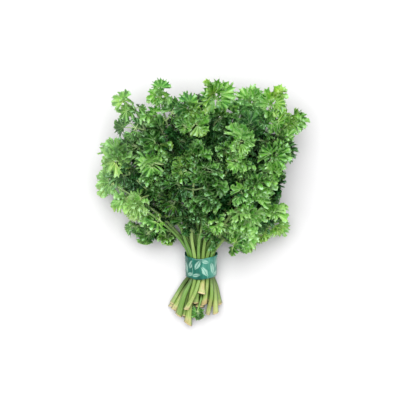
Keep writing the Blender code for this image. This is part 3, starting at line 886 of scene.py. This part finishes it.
def dress_leaf(piece, leaf, loose, draw):
    """One leaf: its stalk, and its ruffled leaflets on their own short stalks."""
    curl = draw.uniform(*CURL_RANGE)
    spread, share_of_length = loose
    neck = leaf.root + leaf.axis * leaf.stalk
    middle = neck + leaf.axis * leaf.fan * 0.5
    # Painted shade: a leaf's tint falls with its depth under the crown's skin and near the shaded hollows
    tint = draw.gauss(TINT_MIDDLE, TINT_SPREAD) - DEPTH_SHADE * buried(middle)
    tint -= SHADE_SHARE * nearness(middle, SHADE_PLACES, SHADE_REACH)
    tint = min(max(tint, LEAST_TINT), MOST_TINT) + PALE_SHARE * paleness(middle)
    bow = leaf.normal * (draw.uniform(*STALK_BOW) * leaf.stalk)
    add_stalk(piece, leaf.root, neck, bow, (STALK_RADIUS, STALK_END_RADIUS), tint)
    for degrees, away, share in LEAFLETS:
        turn = math.radians(degrees) + draw.gauss(0, TURN_SPREAD)
        length = leaf.fan * share * share_of_length * draw.uniform(*LENGTH_RANGE)
        pitch = draw.gauss(PITCH_MIDDLE, PITCH_SPREAD)
        basis = turned_frame(leaf, turn, pitch, draw.gauss(0, ROLL_SPREAD))
        base = neck + Vector(basis[0]) * (leaf.fan * away * spread)
        add_stalk(piece, neck, base, leaf.normal * 0, (STALK_END_RADIUS, RIB_RADIUS), tint)
        add_leaflet(piece, base, length, basis, tint, curl, draw)
    if leaf.stalk <= SHORT_STALK * leaf.fan:
        for degrees, lift in NECK_LEAFLETS:
            turn = math.radians(degrees) + draw.gauss(0, NECK_SPREADS[0])
            pitch = draw.gauss(lift, NECK_SPREADS[1])
            basis = turned_frame(leaf, turn, pitch, draw.gauss(0, NECK_SPREADS[2]))
            base = neck + leaf.axis * (draw.uniform(*NECK_PLACE) * leaf.fan)
            length = leaf.fan * NECK_LENGTH * draw.uniform(*LENGTH_RANGE)
            add_leaflet(piece, base, length, basis, tint, curl, draw)
        return
    place = draw.uniform(*INNER_PLACE)
    hand = draw.choice((-1, 1))
    turn = hand * draw.uniform(*INNER_TURN)
    basis = turned_frame(leaf, turn, draw.gauss(*INNER_PITCH), draw.gauss(0, INNER_ROLL))
    aside = leaf.normal.cross(leaf.axis) * (hand * INNER_SHIFT)
    length = leaf.fan * INNER_LENGTH * draw.uniform(*LENGTH_RANGE)
    add_leaflet(piece, leaf.root.lerp(neck, place) + aside, length, basis, tint, curl, draw)


def dress_stem(stem, path, radii, leaves, draw):
    """The grooved stem and its curly leaves, in one piece."""
    marked = [(*point, radius) for point, radius in zip(path, radii)]
    line = smooth_line(marked, STEM_STEPS)
    thick = line[:, 3].copy()
    start = np.linspace(1, 0, FLARE_RINGS) ** 2
    thick[:FLARE_RINGS] *= 1 + CUT_FLARE * draw.uniform(0, 2) * start
    cut = CUT_SLANT * draw.uniform(-1, 1)
    points, place = tube_grid(line[:, :3], thick, STEM_COLUMNS, GROOVE_DEPTH, cut)
    points[..., 2] = np.maximum(points[..., 2], STEM_LIFT)
    piece = [Grid(points, place, draw.uniform(0, 1), 1, True)]
    for leaf in leaves:
        dress_leaf(piece, leaf, LOOSE_STEMS.get(stem.name, (1, 1)), draw)
    return piece


# The tape: a thin sheet wound once round the bundle, which starts under its own end
TAPE_STEPS = 180
TAPE_ROWS = 14
TAPE_THICKNESS = 0.3 * MM
TAPE_END_SHARE = 0.1
TAPE_LIFT = 0.1 * MM
CREASE_LEAN = 1.3
CREASE_MIDDLE = 0.6
TAPE_CREASES = ((3, 0.16, 0.4), (7, 0.12, 2.1), (13, 0.07, 0.9))
TAPE_EDGE_WAVES = ((2, 0.45, 1.0), (5, 0.25, 2.6))
LAP_CLIMB = math.radians(28)
TAPE_ANGLES = (BAND_LAP_START, BAND_LAP_START + 2 * math.pi + BAND_LAP_ANGLE)
TAPE_ENDS = [angle * BAND_HALF_WIDTH / MM for angle in TAPE_ANGLES]


def tape_grid():
    """The tape as a closed sheet: rows along it, columns round its thin section."""
    start, end = TAPE_ANGLES
    heights = np.linspace(-1, 1, TAPE_ROWS)
    points, place = [], []
    for k in range(TAPE_STEPS + 1):
        angle = start + (end - start) * k / TAPE_STEPS
        climb = min(max((angle - (start + 2 * math.pi - LAP_CLIMB)) / LAP_CLIMB, 0), 1)
        lap = BAND_LAP_STEP * climb * climb * (3 - 2 * climb)
        thick = TAPE_THICKNESS * (TAPE_END_SHARE if k in (0, TAPE_STEPS) else 1)
        edge = sum(high * math.sin(count * angle + turn) for count, high, turn in TAPE_EDGE_WAVES) * MM
        row, marks = [], []
        for side in (1, 0):
            for height in heights if side else heights[::-1]:
                crease = sum(
                    high * math.sin(count * angle + turn + CREASE_LEAN * height * math.sin(count))
                    for count, high, turn in TAPE_CREASES
                )
                crease *= CREASE_MIDDLE + (1 - CREASE_MIDDLE) * height * height
                out = lap + crease * MM - (1 - side) * thick
                across = (BAND_HALF_WIDTH + out) * math.cos(angle)
                up = (BAND_HALF_DEPTH + out) * math.sin(angle)
                distance = height * BAND_HEIGHT / 2 + edge * abs(height)
                row.append(band_point(across, up, distance))
                marks.append((angle * BAND_HALF_WIDTH / MM, distance / MM, side))
        points.append(row)
        place.append(marks)
    points, place = np.array(points), np.array(place)
    points[..., 2] = np.maximum(points[..., 2], TAPE_LIFT)
    return points, place


class Nodes:
    """A material's node tree, with short ways to add and link its nodes."""

    def __init__(self, name):
        self.material = bpy.data.materials.new(name)
        self.material.use_nodes = True
        self.tree = self.material.node_tree
        self.tree.nodes.clear()

    def add(self, kind, inputs, output=0, **settings):
        """A node with its settings and inputs, each a value or another node's socket."""
        made = self.tree.nodes.new("ShaderNode" + kind)
        for name, value in settings.items():
            setattr(made, name, value)
        for key, value in inputs.items():
            if isinstance(value, bpy.types.NodeSocket):
                self.tree.links.new(value, made.inputs[key])
            else:
                made.inputs[key].default_value = value
        return made.outputs[output]

    def math(self, operation, a, b=0.0, clamp=False):
        return self.add("Math", {0: a, 1: b}, operation=operation, use_clamp=clamp)

    def fade(self, value, low, high, start=0.0, end=1.0):
        """value's way from low to high, as start to end."""
        return self.add("MapRange", {0: value, 1: low, 2: high, 3: start, 4: end})

    def times(self, a, b):
        return self.math("MULTIPLY", a, b)

    def plus(self, a, b, clamp=False):
        return self.math("ADD", a, b, clamp)

    def spot(self):
        """A point's place in the object."""
        return self.add("TexCoord", {}, "Object")

    def mark(self, name, output="Fac"):
        """A mesh mark, as a number or a vector."""
        return self.add("Attribute", {}, output, attribute_name=name)

    def split(self, vector):
        return self.add("SeparateXYZ", {0: vector}).node.outputs

    def noise(self, vector, scale, detail=3.0):
        return self.add("TexNoise", {"Vector": vector, "Scale": scale, "Detail": detail})

    def ramp(self, value, stops):
        made = self.add("ValToRGB", {0: value})
        band = made.node.color_ramp.elements
        while len(band) < len(stops):
            band.new(0.5)
        for element, (place, colour) in zip(band, stops):
            element.position = place
            element.color = (*colour, 1)
        return made

    def mix(self, share, one, two, blend="MIX"):
        one, two = ((*c, 1) if isinstance(c, tuple) else c for c in (one, two))
        inputs = {0: share, 6: one, 7: two}
        return self.add("Mix", inputs, 2, data_type="RGBA", blend_type=blend)

    def tinted(self, colour, tint):
        return self.mix(1.0, colour, tint, "MULTIPLY")

    def finish(self, shader):
        out = self.tree.nodes.new("ShaderNodeOutputMaterial")
        self.tree.links.new(shader, out.inputs["Surface"])
        return self.material


# Colours from dark to light, or from a start to an end, each with its place from 0 to 1
LEAF_GREENS = (
    (0.0, (0.006, 0.036, 0.004)), (0.3, (0.028, 0.148, 0.013)),
    (0.65, (0.155, 0.43, 0.050)), (1.0, (0.36, 0.61, 0.18)),
)
STEM_GREENS = (
    (0.0, (0.66, 0.58, 0.30)), (0.02, (0.54, 0.58, 0.22)), (0.07, (0.30, 0.43, 0.09)),
    (0.25, (0.17, 0.34, 0.055)), (0.42, (0.18, 0.37, 0.07)), (0.54, (0.34, 0.54, 0.16)),
    (0.75, (0.44, 0.64, 0.25)), (1.0, (0.50, 0.68, 0.31)),
)
CUT_TANS = (
    (0.0, (0.50, 0.48, 0.24)), (0.45, (0.72, 0.62, 0.36)),
    (0.8, (0.68, 0.54, 0.28)), (1.0, (0.62, 0.54, 0.28)),
)
TAPE_TEALS = ((0.0, (0.004, 0.085, 0.060)), (0.5, (0.015, 0.16, 0.115)), (1.0, (0.10, 0.34, 0.255)))
MINT = (0.44, 0.68, 0.57)

# Painted shade on the stems: on their flanks, and below the band where they lie deep among the others. In
# m, by the height less a slope, the way north and the way from the bundle's middle
CUT_SLOPE = 0.35
SUNK_SHADE_LEVELS = (0.0505, 0.0460)
BELOW_BAND = (-0.062, -0.074)
BUNDLE_MIDDLE = -0.003
BUNDLE_SIDES = (0.022, 0.013)
BARE_STEMS_FROM = (-0.020, -0.045)
STEM_LENGTH = 170.0  # mm, from a stem's first colour to its last


def leaf_material():
    """Curly leaf: green from deep to yellow, pale veins, painted shade and highlights, and light coming
    through.
    """
    n = Nodes("curly_leaf")
    spot, tint = n.spot(), n.mark("tint")
    turn, reach, crest = n.split(n.mark("place", "Vector"))
    broad, fine = n.noise(spot, 70.0), n.noise(spot, 520.0)
    shade = n.plus(tint, n.fade(broad, 0.3, 0.7, -0.18, 0.18))
    # Painted light and shade: fold crests are lighter, troughs darker
    shade = n.plus(shade, n.fade(crest, -0.9, 0.9, -0.34, 0.28))
    shade = n.plus(shade, n.fade(fine, 0.3, 0.7, -0.08, 0.08), clamp=True)
    green = n.ramp(shade, LEAF_GREENS)
    off_vein = n.times(n.math("PINGPONG", turn, 0.5), reach)
    vein = n.fade(off_vein, 0.015, 0.075, 1.0, 0.0)
    vein = n.times(vein, n.fade(reach, 0.1, 0.9, 0.95, 0.2))
    colour = n.mix(vein, green, (0.52, 0.72, 0.36))
    # Painted highlight: the leaflets' outer edges are lightened
    edge = n.fade(reach, 0.8, 1.0, 0.0, 0.5)
    colour = n.mix(edge, colour, (0.34, 0.60, 0.20))
    cool = n.fade(n.noise(spot, 16.0, 2.0), 0.52, 0.68, 0.0, 0.3)
    colour = n.mix(cool, colour, (0.09, 0.29, 0.11))
    warm = n.fade(n.noise(spot, 24.0, 2.0), 0.51, 0.64, 0.0, 0.8)
    colour = n.mix(warm, colour, (1.3, 1.06, 0.6), "MULTIPLY")
    colour = n.mix(n.fade(tint, 0.84, 1.04, 0.0, 0.7), colour, (0.40, 0.55, 0.23))
    # Leaves grow paler and greyer towards the crown's left side
    paler_leftwards = n.fade(n.split(spot)[0], -0.05, -0.10, 0.0, 0.34)
    colour = n.mix(paler_leftwards, colour, (0.38, 0.54, 0.33))
    # Painted highlight: pale blue-green glints on the fold crests
    crest_glint = n.times(n.fade(crest, 0.40, 0.85), n.fade(fine, 0.46, 0.57, 0.0, 0.75))
    colour = n.mix(crest_glint, colour, (0.50, 0.76, 0.54))
    # Painted shade with each leaf's own tone: leaves of low tint are darkened as a whole
    depth = n.mix(n.fade(tint, 0.0, 0.5), (0.15, 0.36, 0.20), (1.1, 1.1, 1.1))
    colour = n.tinted(colour, depth)
    relief = n.plus(n.times(vein, -0.7), fine)
    normal = n.add("Bump", {"Strength": 0.55, "Distance": 0.0005, "Height": relief})
    rough = n.fade(broad, 0.3, 0.7, 0.24, 0.40)
    skin = n.add(
        "BsdfPrincipled",
        {"Base Color": colour, "Roughness": rough, "Normal": normal, "Specular IOR Level": 0.3},
    )
    glow = n.tinted(colour, (1.25, 1.2, 0.55))
    through = n.add("BsdfTranslucent", {"Color": glow, "Normal": normal})
    return n.finish(n.add("MixShader", {0: 0.2, 1: skin, 2: through}))


def stem_material():
    """Stem: pale yellow-green at its cut end, greener higher up, with fine fibres, a tan cut and painted
    shade.
    """
    n = Nodes("grooved_stem")
    spot, tint = n.spot(), n.mark("tint")
    x, y, along = n.split(n.mark("place", "Vector"))
    fibre_at = {0: n.times(x, 4.0), 1: n.times(y, 4.0), 2: n.times(along, 0.06)}
    fibre = n.noise(n.add("CombineXYZ", fibre_at), 2.2, 4.0)
    patch = n.noise(spot, 45.0)
    aged = n.fade(n.noise(spot, 90.0), 0.35, 0.65, 6.0, -7.0)
    green = n.ramp(n.fade(n.plus(along, aged), 0.0, STEM_LENGTH), STEM_GREENS)
    green = n.mix(n.fade(fibre, 0.42, 0.62, 0.0, 0.7), green, (0.05, 0.14, 0.02))
    green = n.mix(n.fade(fibre, 0.30, 0.45, 0.5, 0.0), green, (0.50, 0.60, 0.27))
    worn = n.times(n.fade(patch, 0.5, 0.62, 0.0, 0.7), n.fade(along, 24.0, 4.0))
    green = n.mix(worn, green, (0.36, 0.24, 0.09))
    green = n.mix(n.fade(tint, 0.4, 0.0, 0.0, 0.6), green, (0.09, 0.24, 0.035))
    green = n.mix(n.fade(tint, 0.5, 1.0, 0.0, 0.5), green, (0.46, 0.58, 0.17))
    face = n.ramp(n.fade(along, -3.6, -0.2), CUT_TANS)
    face = n.mix(n.fade(patch, 0.4, 0.65, 0.0, 0.5), face, (0.46, 0.28, 0.11))
    shaded = n.tinted(green, n.fade(tint, 0.0, 0.5, 0.35, 1.0))
    green = n.mix(n.fade(along, STALK_ALONG - 20, STALK_ALONG), green, shaded)
    colour = n.mix(n.fade(along, 0.6, -0.1), green, face)
    east, north, high = n.split(spot)
    # Painted shade on stems that lie deep in the bundle below the band
    over = n.math("SUBTRACT", high, n.times(north, CUT_SLOPE))
    aside = n.math("ABSOLUTE", n.math("SUBTRACT", east, BUNDLE_MIDDLE))
    sunk_shade = n.times(n.fade(over, *SUNK_SHADE_LEVELS, 0.0, 0.85), n.fade(north, *BELOW_BAND))
    sunk_shade = n.times(sunk_shade, n.fade(aside, *BUNDLE_SIDES))
    colour = n.mix(sunk_shade, colour, (0.045, 0.075, 0.014))
    # Painted shade on the stems' sideways-facing flanks, from the bare stems down to the cut ends
    facing_up = n.split(n.add("TexCoord", {}, "Normal"))[2]
    flank_shade = n.times(n.fade(facing_up, 0.70, 0.15, 0.0, 0.6), n.fade(north, *BARE_STEMS_FROM))
    colour = n.mix(flank_shade, colour, (0.045, 0.10, 0.018))
    normal = n.add("Bump", {"Strength": 0.5, "Distance": 0.0004, "Height": fibre})
    rough = n.fade(fibre, 0.3, 0.7, 0.32, 0.5)
    return n.finish(n.add("BsdfPrincipled", {"Base Color": colour, "Roughness": rough, "Normal": normal}))


# The print on the tape: leaf shapes, each its place along and across the tape in mm, its turn in
# degrees, and half its length and width
PRINT_PERIOD = 24.0
PRINT_LEAVES = (
    (5.0, -3.2, 58, 7.0, 2.9), (4.6, 7.4, 20, 4.6, 1.9), (12.4, 4.0, 118, 6.4, 2.6),
    (14.0, -7.2, 165, 5.0, 1.9), (20.0, -0.8, 74, 7.4, 2.5),
)
PRINT_RIB = 0.30

# The tape's tone round the bundle, from its inner end to its outer one: dark where layers lie double
TAPE_TONES = (
    (0.0, 0.45), (0.10, 0.10), (0.18, 0.18), (0.30, 0.5), (0.62, 0.5),
    (0.72, 0.82), (0.90, 0.68), (0.93, 0.12), (0.965, 0.08), (1.0, 0.42),
)


def tape_material():
    """Thin glossy tape: teal with a pale mint print of leaf shapes, and painted light and shade in
    facet-like patches.
    """
    n = Nodes("printed_tape")
    along, height, side = n.split(n.mark("place", "Vector"))
    spot = n.spot()
    cloud = n.noise(spot, 110.0)
    grain = n.noise(spot, 900.0, 2.0)
    facet_light = n.add("TexVoronoi", {"Vector": spot, "Scale": 120.0}, output=1)
    streak_at = n.add("CombineXYZ", {0: n.times(along, 0.55), 1: n.times(height, 0.05)})
    streak = n.noise(streak_at, 1.0, 2.0)
    greys = [(place, (level, level, level)) for place, level in TAPE_TONES]
    tone = n.ramp(n.fade(along, *TAPE_ENDS), greys)
    tone = n.plus(tone, n.fade(cloud, 0.3, 0.7, -0.14, 0.14))
    # Painted light and shade: each facet-like cell is lighter or darker
    tone = n.plus(tone, n.fade(facet_light, 0.0, 1.0, -0.12, 0.12))
    tone = n.plus(tone, n.fade(streak, 0.3, 0.7, -0.16, 0.16), clamp=True)
    unevenness = n.fade(n.noise(spot, 260.0), 0.3, 0.7, -0.5, 0.5)
    run = n.plus(n.math("FLOORED_MODULO", along, PRINT_PERIOD), unevenness)
    printed = 0.0
    for x, y, degrees, half_length, half_width in PRINT_LEAVES:
        cos, sin = math.cos(math.radians(degrees)), math.sin(math.radians(degrees))
        dx, dy = n.math("SUBTRACT", run, x), n.math("SUBTRACT", height, y)
        length = n.plus(n.times(dx, cos), n.times(dy, sin))
        width = n.math("SUBTRACT", n.times(dy, cos), n.times(dx, sin))
        far = n.math("POWER", n.math("ABSOLUTE", n.math("DIVIDE", length, half_length)), 1.5)
        wide = n.math("ABSOLUTE", n.math("DIVIDE", width, half_width))
        shape = n.fade(n.plus(far, wide), 0.85, 1.1, 1.0, 0.0)
        rib = n.fade(n.math("ABSOLUTE", width), 0.6 * PRINT_RIB, 1.4 * PRINT_RIB)
        printed = n.math("MAXIMUM", printed, n.times(shape, rib))
    printed = n.times(n.times(printed, side), n.fade(tone, 0.0, 1.0, 0.5, 0.75))
    colour = n.mix(printed, n.ramp(tone, TAPE_TEALS), MINT)
    relief = n.plus(cloud, n.times(grain, 0.12))
    normal = n.add("Bump", {"Strength": 0.6, "Distance": 0.0008, "Height": relief})
    rough = n.fade(cloud, 0.3, 0.7, 0.22, 0.38)
    return n.finish(n.add("BsdfPrincipled", {"Base Color": colour, "Roughness": rough, "Normal": normal}))


def floor_material():
    n = Nodes("pale_floor")
    colour = n.mix(n.noise(n.spot(), 3.0), FLOOR_DARK, FLOOR_LIGHT)
    return n.finish(n.add("BsdfDiffuse", {"Color": colour}))


def set_stage():
    """A pale floor, an even sky and one large soft lamp, nearly overhead."""
    bpy.ops.mesh.primitive_plane_add(size=FLOOR_SIDE)
    floor = bpy.context.object
    floor.name = "floor"
    floor.data.materials.append(floor_material())
    world = bpy.data.worlds.new("sky")
    world.use_nodes = True
    sky = world.node_tree.nodes["Background"]
    sky.inputs["Color"].default_value = (1, 1, 1, 1)
    sky.inputs["Strength"].default_value = SKY_STRENGTH
    bpy.context.scene.world = world
    data = bpy.data.lights.new("key", "AREA")
    data.shape = "DISK"
    data.size = KEY_SIZE
    data.energy = KEY_POWER
    lamp = add_object("key", data)
    lamp.location = KEY_PLACE
    lamp.rotation_euler = (-Vector(KEY_PLACE)).to_track_quat("-Z", "Y").to_euler()
    bpy.context.scene.view_settings.view_transform = "Standard"


def set_camera():
    """Straight above the bunch, with the leaves at the image's top."""
    data = bpy.data.cameras.new("photo_view")
    data.sensor_width = SENSOR
    data.lens = SENSOR / IMAGE_SIDE * (CAMERA_PLACE[2] - CROWN_LEVEL) / MM
    camera = add_object("photo_view", data)
    camera.location = CAMERA_PLACE
    bpy.context.scene.camera = camera


def place_piece(made, node):
    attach(made, "root")
    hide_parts(node)


def main():
    set_camera()
    set_stage()
    finishes = (leaf_material(), stem_material())
    for number, (stem, path, radii, leaves) in enumerate(grow_bunch()):
        draw = random.Random(DRESSING_SEED + number)
        node = stem.name if stem is BASE_LEAF else "leafy_stem_" + stem.name
        made = build_mesh("curly_" + stem.name, dress_stem(stem, path, radii, leaves, draw), finishes)
        place_piece(made, node)
    tape = build_mesh("wound_tape", [Grid(*tape_grid(), 0.5, 0, True)], [tape_material()])
    place_piece(tape, "tie_band")


main()
